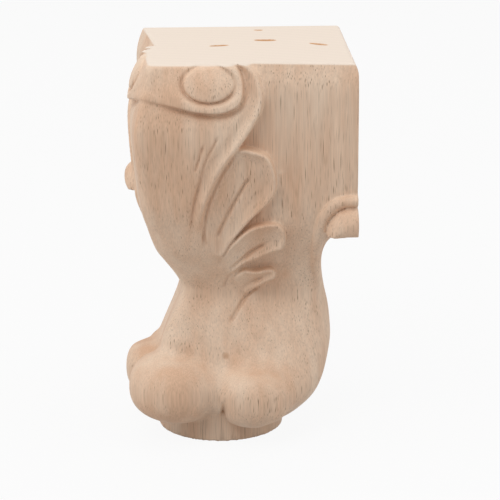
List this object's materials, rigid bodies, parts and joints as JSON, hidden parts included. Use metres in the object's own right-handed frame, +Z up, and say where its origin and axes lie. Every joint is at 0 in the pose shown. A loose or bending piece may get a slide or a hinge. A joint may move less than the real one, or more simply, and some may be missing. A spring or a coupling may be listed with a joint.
{
  "type": "carved wooden furniture leg",
  "caption": "Carved corner leg in unfinished wood with a square head, scrolled knee, leaf carving and a paw foot on a round pad, for a cabinet or sofa corner.",
  "frame": {"origin": "on the floor, under the middle of the leg's outline", "axes": "+Z up from the pad to the top face; the plain inner faces look to +X and +Y, the carved outer faces to -X and -Y"},
  "size_m": [0.0596, 0.0596, 0.1],
  "materials": {
    "wood": "sanded and unfinished rubberwood, end grain on the top face"
  },
  "bodies": {
    "root": {"leg": "wood"}
  },
  "joints": []
}
